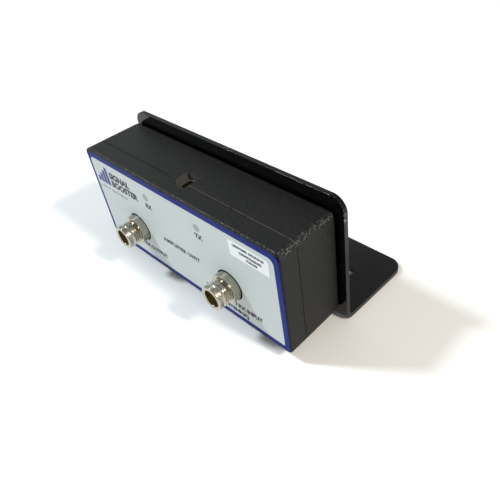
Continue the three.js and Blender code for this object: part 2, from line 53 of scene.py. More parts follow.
# ------------------------------------------------------------------ places taken from the frame
MM = 0.001
GAP = 0.3 * MM
cover_low, cover_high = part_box("front_cover")
plate_low, plate_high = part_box("bracket")
MID_X = (cover_low.x + cover_high.x) / 2
MID_Z = (cover_low.z + cover_high.z) / 2
HALF_X = (cover_high.x - cover_low.x) / 2
HALF_Z = (cover_high.z - cover_low.z) / 2
FACE_Y = cover_low.y
BACK_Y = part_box("rear_case")[1].y
PARTING_Y = cover_high.y + GAP / 2
PLATE_Y = plate_low.y
BODY_DEPTH = BACK_Y - FACE_Y
SIDES = ("left", "right")
FOUR = (1, 2, 3, 4)  # each kind of screw comes as four, numbered from 1
X, Y, Z = 0, 1, 2
CAPITAL = 0.729  # height of the built-in font's capitals at size 1
SCREW_CLEARANCE = 1.55 * MM  # radius of the hole round a screw
SCREW_RISE = 1.6 * MM  # height of a screw's head
SHARP = math.radians(40)  # edges turned more than this stay sharp
LIGHT_DISTANCE, LIGHT_SIZE = 2.4, 0.32
CAMERA_PLACE = (225.53 * MM, -166.78 * MM, 248.56 * MM)
CAMERA_TURN = (48.961, 7.396, 45.218)
CAMERA_SHIFT = (-0.0109, -0.0057)
SKY_TINT = (0.96, 0.98, 1.0)


def port_axis(side):
    """The x and z of a port's middle."""
    low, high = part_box(f"port_{side}_contact")
    return (low.x + high.x) / 2, (low.z + high.z) / 2


def length(name, description, millimetres):
    return bpy.props.FloatProperty(
        name=name, description=description, default=millimetres * MM, min=0.0,
        subtype="DISTANCE", unit="LENGTH", precision=5)


def share(name, description, value):
    return bpy.props.FloatProperty(
        name=name, description=description, default=value, min=0.0, max=1.0, subtype="FACTOR")


def colour(name, description, value):
    return bpy.props.FloatVectorProperty(
        name=name, description=description, default=value, min=0.0, max=1.0,
        size=3, subtype="COLOR")


def power(name, description, value):
    return bpy.props.FloatProperty(
        name=name, description=description, default=value, min=0.0, subtype="POWER", unit="POWER")


# ------------------------------------------------------------------ sizes and colours
class CaseSizes(bpy.types.PropertyGroup):
    corner: length("Corner", "Rounding of the case's four long edges", 4.2)
    front_rim: length("Front Rim", "Rounding round the face", 1.1)
    rear_rim: length("Rear Rim", "Rounding round the back", 2.6)
    draft: length("Draft", "How far each side draws in at the back", 0.75)
    wall: length("Wall", "Thickness of the plastic", 2.2)
    lip_length: length("Lip Length", "How far the rear shell's lip reaches into the cover", 2.6)
    lip_inset: length("Lip Inset", "How far the lip stands in from the outside", 1.2)
    edge: length("Edge", "Softening of the moulded edges", 0.22)
    port_clearance: length("Port Clearance", "Gap between a port and the cover", 0.8)


class PocketSizes(bpy.types.PropertyGroup):
    left: length("Left", "From the case's middle to the pocket's left wall", 6.5)
    right: length("Right", "From the case's middle to the pocket's right wall", 5.5)
    behind: length("Behind", "From the parting line to the pocket's rear wall", 9.4)
    ahead: length("Ahead", "From the parting line to the pocket's front", 4.0)
    depth: length("Depth", "From the case's top to the pocket's floor", 5.0)
    wall: length("Wall", "Thickness of the pocket's walls", 1.2)
    ledge: length("Ledge", "Floor left standing beside the release hole", 2.3)


class BracketSizes(bpy.types.PropertyGroup):
    sheet: length("Sheet", "Thickness of the steel", 3.0)
    bend: length("Bend", "Outer radius of the bend", 5.0)
    corner: length("Corner", "Rounding of the sheet's corners", 9.0)
    edge: length("Edge", "Rounding of the sheet's edges under the paint", 0.45)
    hole_radius: length("Hole Radius", "Radius of the foot's holes", 3.0)
    hole_inset: length("Hole Inset", "From the foot's ends to its holes", 23.2)
    hole_back: length("Hole Back", "From the plate's front to the foot's holes", 31.3)


class LabelSizes(bpy.types.PropertyGroup):
    border_left: length("Border Left", "Width of the printed border", 2.07)
    border_right: length("Border Right", "Width of the printed border", 3.94)
    border_top: length("Border Top", "Width of the printed border", 3.42)
    border_bottom: length("Border Bottom", "Width of the printed border", 3.29)
    corner_high: length("High Corner", "Rounding of the printed border's upper corners", 4.0)
    corner_low: length("Low Corner", "Rounding of the printed border's lower corners", 1.0)
    ink: length("Ink", "Thickness of the printed letters", 0.03)


class PortSizes(bpy.types.PropertyGroup):
    collar: length("Collar", "Radius of the smooth collar", 9.5)
    collar_length: length("Collar Length", "How far the collar stands out", 5.0)
    thread: length("Thread", "Outer radius of the thread", 7.9)
    pitch: length("Pitch", "From one thread to the next", 1.35)
    thread_depth: length("Thread Depth", "Depth of the thread", 0.62)
    bore: length("Bore", "Radius of the open end", 5.45)
    core: length("Core", "Radius of the insulator", 3.5)
    barrel_wall: length("Barrel Wall", "Metal round the insulator inside the case", 2.5)
    flange: length("Flange", "Half the width of the square flange", 12.7)
    flange_thickness: length("Flange Thickness", "Thickness of the square flange", 2.0)
    contact: length("Contact", "Radius of the centre contact", 1.52)


class Finishes(bpy.types.PropertyGroup):
    # The bracket's own gloss black, made darker still as painted shade for the upright plate's
    # front. gloss_paint paints the foot lighter.
    steel_paint: colour("Steel Paint", "Gloss black on the bracket", (0.0008, 0.0008, 0.0012))
    bare_steel: colour("Bare Steel", "Metal where the paint has chipped", (0.36, 0.33, 0.29))
    plastic: colour("Plastic", "Black moulded case", (0.0040, 0.0045, 0.0043))
    label: colour("Label", "Pale grey face", (0.495, 0.538, 0.535))
    border: colour("Border", "Blue round the face", (0.006, 0.018, 0.165))
    ink: colour("Ink", "Dark lettering", (0.004, 0.004, 0.008))
    sticker: colour("Sticker", "White data sticker", (0.72, 0.75, 0.77))
    nickel: colour("Nickel", "Plating on the ports", (0.46, 0.435, 0.365))
    bore: colour("Bore", "Warm metal inside the ports", (0.42, 0.33, 0.19))
    gold: colour("Gold", "Plating on the contacts", (0.83, 0.56, 0.19))
    zinc: colour("Zinc", "Plating on the screws", (0.62, 0.63, 0.62))
    casting: colour("Casting", "Aluminium of the inner box", (0.58, 0.59, 0.60))
    board: colour("Board", "Green of the circuit board", (0.012, 0.098, 0.036))


class StageSettings(bpy.types.PropertyGroup):
    floor: colour("Floor", "Pale table top", (0.82, 0.82, 0.82))
    sky: share("Sky", "Brightness of the light from all round", 0.46)
    left_power: power("Left Power", "Soft light from the front left", 45.0)
    right_power: power("Right Power", "Soft light from the back right", 43.0)
    lens: bpy.props.FloatProperty(
        name="Lens", description="Focal length of the camera", default=39.53, min=1.0,
        subtype="DISTANCE_CAMERA")


# ------------------------------------------------------------------ modelling by hand
def clear_selection():
    if bpy.context.mode != "OBJECT":
        bpy.ops.object.mode_set(mode="OBJECT")
    bpy.ops.object.select_all(action="DESELECT")


def make_active(piece):
    clear_selection()
    piece.select_set(True)
    bpy.context.view_layer.objects.active = piece
    return piece


def settle(name):
    """Names the newest object and puts its place, turn and size into its mesh."""
    piece = bpy.context.object
    piece.name = piece.data.name = name
    make_active(piece)
    bpy.ops.object.transform_apply(location=True, rotation=True, scale=True)
    return piece


def edit(piece, kind=None, test=None):
    """Opens a piece in edit mode with nothing selected, or the edges or faces that pass a test."""
    make_active(piece)
    bpy.ops.object.mode_set(mode="EDIT")
    bpy.ops.mesh.select_all(action="DESELECT")
    if kind:
        pick(piece, kind, test)


def pick(piece, kind, test):
    bpy.ops.mesh.select_mode(type={"verts": "VERT", "edges": "EDGE", "faces": "FACE"}[kind])
    mesh = bmesh.from_edit_mesh(piece.data)
    for item in getattr(mesh, kind):
        if test(item):
            item.select_set(True)
    mesh.select_flush_mode()
    bmesh.update_edit_mesh(piece.data)


def leave():
    bpy.ops.object.mode_set(mode="OBJECT")


def points_of(item):
    return [item.co] if isinstance(item, bmesh.types.BMVert) else [v.co for v in item.verts]


def lies_at(axis, value, reach=0.01 * MM):
    return lambda item: all(abs(p[axis] - value) < reach for p in points_of(item))


def runs_along(axis, most=0.9):
    def test(edge):
        way = (edge.verts[1].co - edge.verts[0].co).normalized()
        return abs(way[axis]) > most
    return test


def block(name, low, high):
    """A box between two corners, given in any order."""
    low, high = Vector(map(min, low, high)), Vector(map(max, low, high))
    clear_selection()
    bpy.ops.mesh.primitive_cube_add(size=1, location=(low + high) / 2, scale=high - low)
    return settle(name)


def round_edges(piece, test, offset, segments=6):
    edit(piece, "edges", test)
    bpy.ops.mesh.bevel(offset=offset, segments=segments, affect="EDGES", clamp_overlap=False)
    leave()
    return piece


def rod(name, low, high, radius, axis, sides=64):
    """A round bar between two ends along an axis."""
    turn = {X: (0, math.pi / 2, 0), Y: (math.pi / 2, 0, 0), Z: (0, 0, 0)}[axis]
    clear_selection()
    bpy.ops.mesh.primitive_cylinder_add(
        vertices=sides, radius=radius, depth=abs(high[axis] - low[axis]),
        location=(Vector(low) + Vector(high)) / 2, rotation=turn)
    return settle(name)


def turned(name, profile, centre, sides=96, hollow=False):
    """Draws a ring out along Y through (radius, y) pairs. A hollow profile ends where it began."""
    x, z = centre
    radius, y = profile[0]
    clear_selection()
    bpy.ops.mesh.primitive_circle_add(
        vertices=sides, radius=radius, location=(x, y, z), rotation=(math.pi / 2, 0, 0))
    piece = settle(name)
    edit(piece)
    bpy.ops.mesh.select_all(action="SELECT")
    if not hollow:
        bpy.ops.mesh.edge_face_add()
        bpy.ops.mesh.select_all(action="DESELECT")
        pick(piece, "edges", lies_at(Y, y))
    for (radius, y), (next_radius, next_y) in zip(profile, profile[1:]):
        bpy.ops.mesh.extrude_edges_move(
            TRANSFORM_OT_translate={"value": (0, next_y - y, 0)})
        ratio = next_radius / radius
        bpy.ops.transform.resize(value=(ratio, 1, ratio), center_override=(x, next_y, z))
    if not hollow:
        bpy.ops.mesh.edge_face_add()
    clean(piece)
    return piece


def clean(piece):
    """Merges doubled points and turns the faces outwards."""
    edit(piece)
    bpy.ops.mesh.select_all(action="SELECT")
    bpy.ops.mesh.remove_doubles(threshold=0.001 * MM)
    bpy.ops.mesh.normals_make_consistent(inside=False)
    if bmesh.from_edit_mesh(piece.data).calc_volume(signed=True) < 0:
        bpy.ops.mesh.flip_normals()
    leave()


def apply(piece, kind, **settings):
    make_active(piece)
    bpy.ops.object.modifier_add(type=kind)
    modifier = piece.modifiers[-1]
    for key, value in settings.items():
        setattr(modifier, key, value)
    bpy.ops.object.modifier_apply(modifier=modifier.name)


def combine(piece, tools, operation):
    """Cuts the tools out of a piece, or joins them to it, and takes them away."""
    for tool in tools:
        apply(piece, "BOOLEAN", operation=operation, solver="EXACT", object=tool)
        bpy.data.objects.remove(tool)
    return piece


def carve(piece, *tools):
    return combine(piece, tools, "DIFFERENCE")


def weld(piece, *tools):
    return combine(piece, tools, "UNION")


def soften(piece, width, segments=2, angle=40):
    """Rounds every sharp edge a little, and shades the piece smooth between the sharp ones."""
    clean(piece)
    if width:
        apply(piece, "BEVEL", width=width, segments=segments, limit_method="ANGLE",
              angle_limit=math.radians(angle), use_clamp_overlap=True, miter_outer="MITER_ARC")
    make_active(piece)
    bpy.ops.object.shade_smooth_by_angle(angle=SHARP)
    apply(piece, "WEIGHTED_NORMAL", keep_sharp=True, weight=50)
    return piece


def middle_of(node):
    low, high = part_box(node)
    return (low + high) / 2


def hole_through(piece, middle, front, back, radius, sides):
    """Cuts a round hole along Y, from one depth to another, on a node's middle."""
    return carve(piece, rod("hole", (middle.x, front, middle.z), (middle.x, back, middle.z),
                            radius, Y, sides))


def screw_holes(piece, kind, front, back, sides):
    """Cuts a clearance hole along Y for each of the four screws of a kind."""
    for i in FOUR:
        hole_through(piece, middle_of(f"{kind}_{i}"), front, back, SCREW_CLEARANCE, sides)


def copy_of(piece, name, offset):
    """A copy with its own mesh, moved by an offset."""
    make_active(piece)
    bpy.ops.object.duplicate(linked=False)
    bpy.ops.transform.translate(value=offset)
    return settle(name)


def join(name, pieces):
    clear_selection()
    for piece in pieces:
        piece.select_set(True)
    bpy.context.view_layer.objects.active = pieces[0]
    bpy.ops.object.join()
    return settle(name)


def hand_over(piece, body, slot, finish, *nodes):
    """Gives a finished piece its material and its body, and hides the nodes it stands for. The slot
    is not used.
    """
    clear_selection()
    if finish:
        piece.data.materials.clear()
        piece.data.materials.append(bpy.data.materials[finish])
    if nodes:
        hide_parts(*nodes)
    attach(piece, body)


# ------------------------------------------------------------------ the case's common outline
def case_half(y, margin):
    """Half the case's width and height at a depth, moved in by a margin."""
    inset = bpy.context.scene.amp_case.draft * (y - FACE_Y) / BODY_DEPTH + margin
    return HALF_X - inset, HALF_Z - inset


def case_block(name, margin, front, back, rims=None):
    """The case's rounded and drafted outline, solid from one depth to another."""
    case = bpy.context.scene.amp_case
    half_x, half_z = case_half(front, margin)
    back_x, back_z = case_half(back, margin)
    piece = block(name, (MID_X - half_x, front, MID_Z - half_z),
                  (MID_X + half_x, back, MID_Z + half_z))
    edit(piece, "faces", lies_at(Y, back))
    bpy.ops.transform.resize(
        value=(back_x / half_x, 1, back_z / half_z), center_override=(MID_X, back, MID_Z))
    leave()
    round_edges(piece, runs_along(Y), max(case.corner - margin, 0.5 * MM), 10)
    if rims:
        for y, rim in zip((front, back), rims):
            round_edges(piece, lies_at(Y, y), rim, 6)
    return piece


def split(piece, y, keep_front):
    edit(piece)
    bpy.ops.mesh.select_all(action="SELECT")
    bpy.ops.mesh.bisect(
        plane_co=(0, y, 0), plane_no=(0, 1, 0), use_fill=True,
        clear_inner=not keep_front, clear_outer=keep_front)
    leave()
    clean(piece)
    return piece


def pocket_place(over, x, y, z):
    """A point given from the case's middle; over is -1 for the pocket on the underside."""
    return MID_X + over * x, y, MID_Z + over * z


def pocket_recess(over):
    """What the release pocket takes out of both shells, round the cover's curved corner."""
    p = bpy.context.scene.amp_pocket
    front = PARTING_Y - p.ahead - GAP
    floor = HALF_Z - p.depth
    above = HALF_Z + 2 * MM
    tool = block("pocket_tool", pocket_place(over, -p.left, front, floor),
                 pocket_place(over, p.right, PARTING_Y + p.behind, above))
    corner = rod("corner_tool", pocket_place(over, -p.left, front, floor - MM),
                 pocket_place(over, -p.left, front, above + MM), p.ahead, Z)
    return carve(tool, corner)


def pocket_well(over):
    """The walls and floor of the release pocket, before it is hollowed."""
    p = bpy.context.scene.amp_pocket
    under = HALF_Z - p.depth - p.wall
    top = HALF_Z - bpy.context.scene.amp_case.wall / 2
    back = PARTING_Y + p.behind + p.wall
    walls = block("well_tool", pocket_place(over, -p.left - p.wall, PARTING_Y + 0.33 * MM, under),
                  pocket_place(over, p.right + p.wall, back, top))
    floor = block("floor_tool",
                  pocket_place(over, -p.left - p.wall + 0.05 * MM, PARTING_Y - p.ahead + GAP,
                               under - 0.05 * MM),
                  pocket_place(over, p.right + p.wall - 0.05 * MM, back - 0.05 * MM,
                               HALF_Z - p.depth + 0.5 * MM))
    return weld(walls, floor)


def release_hole(over, margin, top, bottom, corner):
    """The opening in the pocket's floor, moved in by a margin."""
    p = bpy.context.scene.amp_pocket
    tool = block("hole_tool",
                 pocket_place(over, -p.left + p.ledge + margin, PARTING_Y + 0.6 * MM + margin,
                              bottom),
                 pocket_place(over, p.right - 0.9 * MM - margin,
                              PARTING_Y + p.behind - 1.1 * MM - margin, top))
    return round_edges(tool, runs_along(Z), corner, 8)


# ------------------------------------------------------------------ operators: the case
class AMPLIFIER_OT_rear_shell(bpy.types.Operator):
    """Models the rear half of the snap case with its lip and release pockets"""
    bl_idname = "amplifier.rear_shell"
    bl_label = "Rear Shell"

    def execute(self, context):
        case, p = context.scene.amp_case, context.scene.amp_pocket
        whole = case_block("rear_shell", 0, FACE_Y, BACK_Y, (case.front_rim, case.rear_rim))
        shell = split(whole, PARTING_Y + GAP / 2, keep_front=False)
        carve(shell, case_block("cavity", case.wall, FACE_Y, BACK_Y - case.wall))
        lip = case_block("lip", case.lip_inset, PARTING_Y - case.lip_length,
                         PARTING_Y + case.lip_length)
        carve(lip, case_block("lip_core", case.wall + 0.05 * MM,
                              PARTING_Y - 2 * case.lip_length,
                              PARTING_Y + 2 * case.lip_length))
        weld(shell, lip)
        floor_under = HALF_Z - p.depth - p.wall
        for over in (1, -1):
            weld(shell, pocket_well(over))
            anchor_low = pocket_place(over, -6.3 * MM, PLATE_Y - 11 * MM, floor_under - 1.8 * MM)
            anchor_high = pocket_place(over, 5.3 * MM, BACK_Y - case.wall / 2,
                                       HALF_Z - case.wall / 2)
            weld(shell, block("anchor", anchor_low, anchor_high))
            carve(shell, pocket_recess(over),
                  release_hole(over, 0, floor_under + 4 * MM, floor_under - MM, 2.4 * MM))
        screw_holes(shell, "bracket_screw", BACK_Y - 5 * MM, BACK_Y + MM, 24)
        soften(shell, case.edge)
        hand_over(shell, "base", "black_plastic", "moulded_plastic", "rear_case")
        return {"FINISHED"}


class AMPLIFIER_OT_cover_shell(bpy.types.Operator):
    """Models the cover that snaps on the front, with the seat for its label"""
    bl_idname = "amplifier.cover_shell"
    bl_label = "Cover Shell"

    def execute(self, context):
        case, ports = context.scene.amp_case, context.scene.amp_ports
        whole = case_block("cover_shell", 0, FACE_Y, BACK_Y, (case.front_rim, case.rear_rim))
        cover = split(whole, PARTING_Y - GAP / 2, keep_front=True)
        carve(cover, case_block("cavity", case.wall, FACE_Y + case.wall, BACK_Y),
              case_block("rebate", case.lip_inset - GAP, PARTING_Y - case.lip_length - GAP,
                         BACK_Y))
        for over in (1, -1):
            carve(cover, pocket_recess(over))
        label_low, label_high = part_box("face_label")
        seat = block("seat", (label_low.x - GAP, FACE_Y - MM, label_low.z - GAP),
                     (label_high.x + GAP, label_high.y + GAP, label_high.z + GAP))
        carve(cover, round_edges(seat, runs_along(Y), 1.6 * MM, 6))
        for side in SIDES:
            x, z = port_axis(side)
            carve(cover, rod("port_hole", (x, FACE_Y - MM, z), (x, PARTING_Y, z),
                             ports.collar + case.port_clearance, Y, 96))
        for lamp in ("rx", "tx"):
            hole_through(cover, middle_of(f"led_window_{lamp}"), FACE_Y - MM, PARTING_Y,
                         3.05 * MM, 48)
        soften(cover, case.edge)
        hand_over(cover, "cover", "black_plastic", "moulded_plastic", "front_cover")
        return {"FINISHED"}


class AMPLIFIER_OT_latches(bpy.types.Operator):
    """Models the two snap tongues with their hooks and finger pads"""
    bl_idname = "amplifier.latches"
    bl_label = "Latches"

    def execute(self, context):
        p = context.scene.amp_pocket
        middle = (p.right - p.left) / 2
        half = (p.right + p.left) / 2 - 0.9 * MM
        top = HALF_Z - p.depth - p.wall - GAP
        under = top - 1.5 * MM
        front = PARTING_Y - p.ahead - 2.3 * MM
        for name, over in (("top", 1), ("bottom", -1)):
            blade = block(f"latch_tongue_{name}", pocket_place(over, middle - half, front, under),
                          pocket_place(over, middle + half, PLATE_Y - 11.3 * MM, top))
            hook = block("hook", pocket_place(over, middle - half, front, under),
                         pocket_place(over, middle + half, front + 1.3 * MM, HALF_Z - p.depth))
            edge_z = pocket_place(over, 0, 0, HALF_Z - p.depth)[Z]
            round_edges(hook, lambda e: lies_at(Y, front)(e) and lies_at(Z, edge_z)(e),
                        0.9 * MM, 1)
            pad = release_hole(over, GAP, top + 0.4 * MM, under, 2.1 * MM)
            weld(blade, hook, pad)
            soften(blade, 0.15 * MM)
            hand_over(blade, f"latch_{'upper' if over > 0 else 'lower'}", "black_plastic",
                      "moulded_plastic", f"latch_{name}")
        return {"FINISHED"}


# ------------------------------------------------------------------ operators: the bracket
class AMPLIFIER_OT_bracket(bpy.types.Operator):
    """Models the bent steel bracket from one plate, drawn round the bend into the foot"""
    bl_idname = "amplifier.bracket"
    bl_label = "Bracket"

    def execute(self, context):
        b = context.scene.amp_bracket
        low, high = plate_low, plate_high
        middle = (low + high) / 2
        clear_selection()
        bpy.ops.mesh.primitive_plane_add(
            size=1, location=(middle.x, PLATE_Y, (high.z + low.z + b.bend) / 2),
            rotation=(math.pi / 2, 0, 0))
        bpy.ops.transform.resize(value=(high.x - low.x, 1, high.z - low.z - b.bend))
        sheet = settle("bracket_sheet")
        edit(sheet, "edges", lies_at(Z, low.z + b.bend))
        steps = 12
        step = math.radians(90 / steps)
        for i in range(steps):
            angle, after = i * step, (i + 1) * step
            bpy.ops.mesh.extrude_edges_move(TRANSFORM_OT_translate={"value": (
                0, b.bend * (math.cos(angle) - math.cos(after)),
                b.bend * (math.sin(angle) - math.sin(after)))})
        bpy.ops.mesh.extrude_edges_move(TRANSFORM_OT_translate={"value": (
            0, high.y - low.y - b.bend, 0)})
        bpy.ops.mesh.select_all(action="DESELECT")
        pick(sheet, "verts", lambda v: v.co.z > high.z - 0.1 * MM or v.co.y > high.y - 0.1 * MM)
        bpy.ops.mesh.bevel(offset=b.corner, segments=16, affect="VERTICES")
        leave()
        edit(sheet)
        bpy.ops.mesh.select_all(action="SELECT")
        bpy.ops.mesh.normals_make_consistent(inside=False)
        leave()
        front = [f for f in sheet.data.polygons if abs(f.normal.y) > 0.9]
        apply(sheet, "SOLIDIFY", thickness=b.sheet, use_even_offset=True,
              offset=1 if front[0].normal.y > 0 else -1)
        y = PLATE_Y + b.hole_back
        for x in (low.x + b.hole_inset, high.x - b.hole_inset):
            carve(sheet, rod("foot_hole", (x, y, low.z - MM), (x, y, low.z + b.sheet + MM),
                             b.hole_radius, Z, 64))
        screw_holes(sheet, "bracket_screw", PLATE_Y - MM, PLATE_Y + b.sheet + MM, 32)
        soften(sheet, b.edge, segments=3, angle=50)
        hand_over(sheet, "base", "black_painted_steel", "gloss_paint", "bracket")
        return {"FINISHED"}


# ------------------------------------------------------------------ operators: the face
def letters(name, text, x, z, height, align="CENTER", slant=0.0, weight=0.0, spacing=1.0):
    """One line of printed letters on the label; z is the foot of the capitals."""
    clear_selection()
    bpy.ops.object.text_add(location=(MID_X + x * MM, FACE_Y, z * MM),
                            rotation=(math.pi / 2, 0, 0))
    line = bpy.context.object
    line.data.body = text
    line.data.size = height * MM / CAPITAL
    line.data.align_x = align
    line.data.shear = slant
    line.data.space_character = spacing
    line.data.offset = weight * MM
    line.data.resolution_u = 4
    line.data.extrude = context_ink() / 2
    bpy.ops.object.convert(target="MESH")
    line = settle(name)
    clean(line)
    return line


def context_ink():
    return bpy.context.scene.amp_label.ink


class AMPLIFIER_OT_label(bpy.types.Operator):
    """Models the label sheet with its clearance round the ports, and the print on it"""
    bl_idname = "amplifier.label"
    bl_label = "Face Label"

    def execute(self, context):
        case, ports = context.scene.amp_case, context.scene.amp_ports
        low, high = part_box("face_label")
        sheet = block("label_panel", low, high)
        high_corners = lambda e: runs_along(Y)(e) and e.verts[0].co.z > MID_Z
        low_corners = lambda e: runs_along(Y)(e) and e.verts[0].co.z < MID_Z
        round_edges(sheet, high_corners, 3.8 * MM, 10)
        round_edges(sheet, low_corners, 1.2 * MM, 6)
        for side in SIDES:
            x, z = port_axis(side)
            carve(sheet, rod("port_hole", (x, low.y - MM, z), (x, high.y + MM, z),
                             ports.collar + case.port_clearance - 0.1 * MM, Y, 96))
        soften(sheet, 0.06 * MM)
        hand_over(sheet, "cover", "label_film", "printed_film", "face_label")

        rows = (
            ("RX", -25.0, 57.4, 3.4, {"weight": 0.27}),
            ("TX", 22.2, 57.4, 3.4, {"weight": 0.27}),
            ("AMPLIFIER UNIT", -0.3, 36.2, 3.1, {"weight": 0.27, "spacing": 1.16}),
            ("TX INPUT / RX OUTPUT", -44.6, 18.6, 3.2, {"weight": 0.29}),
            ("TX OUTPUT / RX INPUT", 42.3, 18.2, 3.2, {"weight": 0.31}),
            ("(ANTENNA)", 42.3, 12.8, 3.2, {"weight": 0.31}),
            ("SIGNAL", -65.5, 64.2, 4.8, {"align": "LEFT", "slant": 0.2, "weight": 0.40}),
            ("BOOSTER", -65.5, 58.0, 4.8, {"align": "LEFT", "slant": 0.2, "weight": 0.40}),
            ("RADIO EQUIPMENT", -80.5, 52.8, 1.6,
             {"align": "LEFT", "weight": 0.09, "spacing": 1.75}),
        )
        print_lines = [letters(f"line_{i}", *row, **style) for i, (*row, style) in enumerate(rows)]
        words = join("label_lettering", print_lines)
        hand_over(words, "cover", "label_film", "print_ink")

        bars = []
        for i in range(4):
            left = MID_X + (-81.2 + 3.7 * i) * MM
            bar = block(f"bar_{i}", (left, FACE_Y - context_ink() / 2, 57.2 * MM),
                        (left + 3.1 * MM, FACE_Y + context_ink() / 2,
                         (61.2 + 3.2 * i) * MM))
            bars.append(round_edges(bar, runs_along(Y), 0.5 * MM, 4))
        hand_over(join("signal_bars", bars), "cover", "label_film", "print_blue")
        return {"FINISHED"}


class AMPLIFIER_OT_sticker(bpy.types.Operator):
    """Models the small paper sticker near the label's upper right corner"""
    bl_idname = "amplifier.sticker"
    bl_label = "Data Sticker"

    def execute(self, context):
        low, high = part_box("serial_sticker")
        paper = block("data_sticker", (low.x, FACE_Y - 0.16 * MM, low.z),
                      (high.x, FACE_Y - 0.01 * MM, high.z))

        def away(edge):
            return math.hypot(edge.verts[0].co.x - high.x, edge.verts[0].co.z - high.z)

        round_edges(paper, lambda e: runs_along(Y)(e) and away(e) < MM, 1.7 * MM, 8)
        round_edges(paper, lambda e: runs_along(Y)(e) and away(e) > 3 * MM, 0.4 * MM, 4)
        soften(paper, 0.03 * MM, segments=1)
        hand_over(paper, "cover", "white_sticker", "sticker_paper", "serial_sticker")
        return {"FINISHED"}


class AMPLIFIER_OT_windows(bpy.types.Operator):
    """Models the light pipes behind the label"""
    bl_idname = "amplifier.windows"
    bl_label = "Indicator Windows"

    def execute(self, context):
        for name in ("rx", "tx"):
            low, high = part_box(f"led_window_{name}")
            middle = (low + high) / 2
            front, collar = FACE_Y + 0.32 * MM, high.y - 0.9 * MM
            radius, flare = 2.75 * MM, 3.95 * MM
            pipe = turned(f"window_{name}", [
                (radius - 0.2 * MM, front), (radius, front + 0.2 * MM), (radius, collar),
                (flare - 0.2 * MM, collar), (flare, collar + 0.2 * MM),
                (flare, high.y - 0.2 * MM), (flare - 0.2 * MM, high.y)], (middle.x, middle.z), 48)
            soften(pipe, 0)
            hand_over(pipe, "cover", "window_film", "clouded_window", f"led_window_{name}")
        return {"FINISHED"}


# ------------------------------------------------------------------ operators: the ports
def thread_profile(start, end, crest, depth, pitch):
    """(radius, y) pairs of a thread from one y back to another."""
    turns = int((end - start) / pitch)
    spare = (end - start - turns * pitch) / 2
    root = crest - depth
    points = []
    for i in range(turns):
        y = start + spare + i * pitch
        points += [(root, y + 0.06 * pitch), (crest, y + 0.40 * pitch),
                   (crest, y + 0.60 * pitch), (root, y + 0.94 * pitch)]
    return points


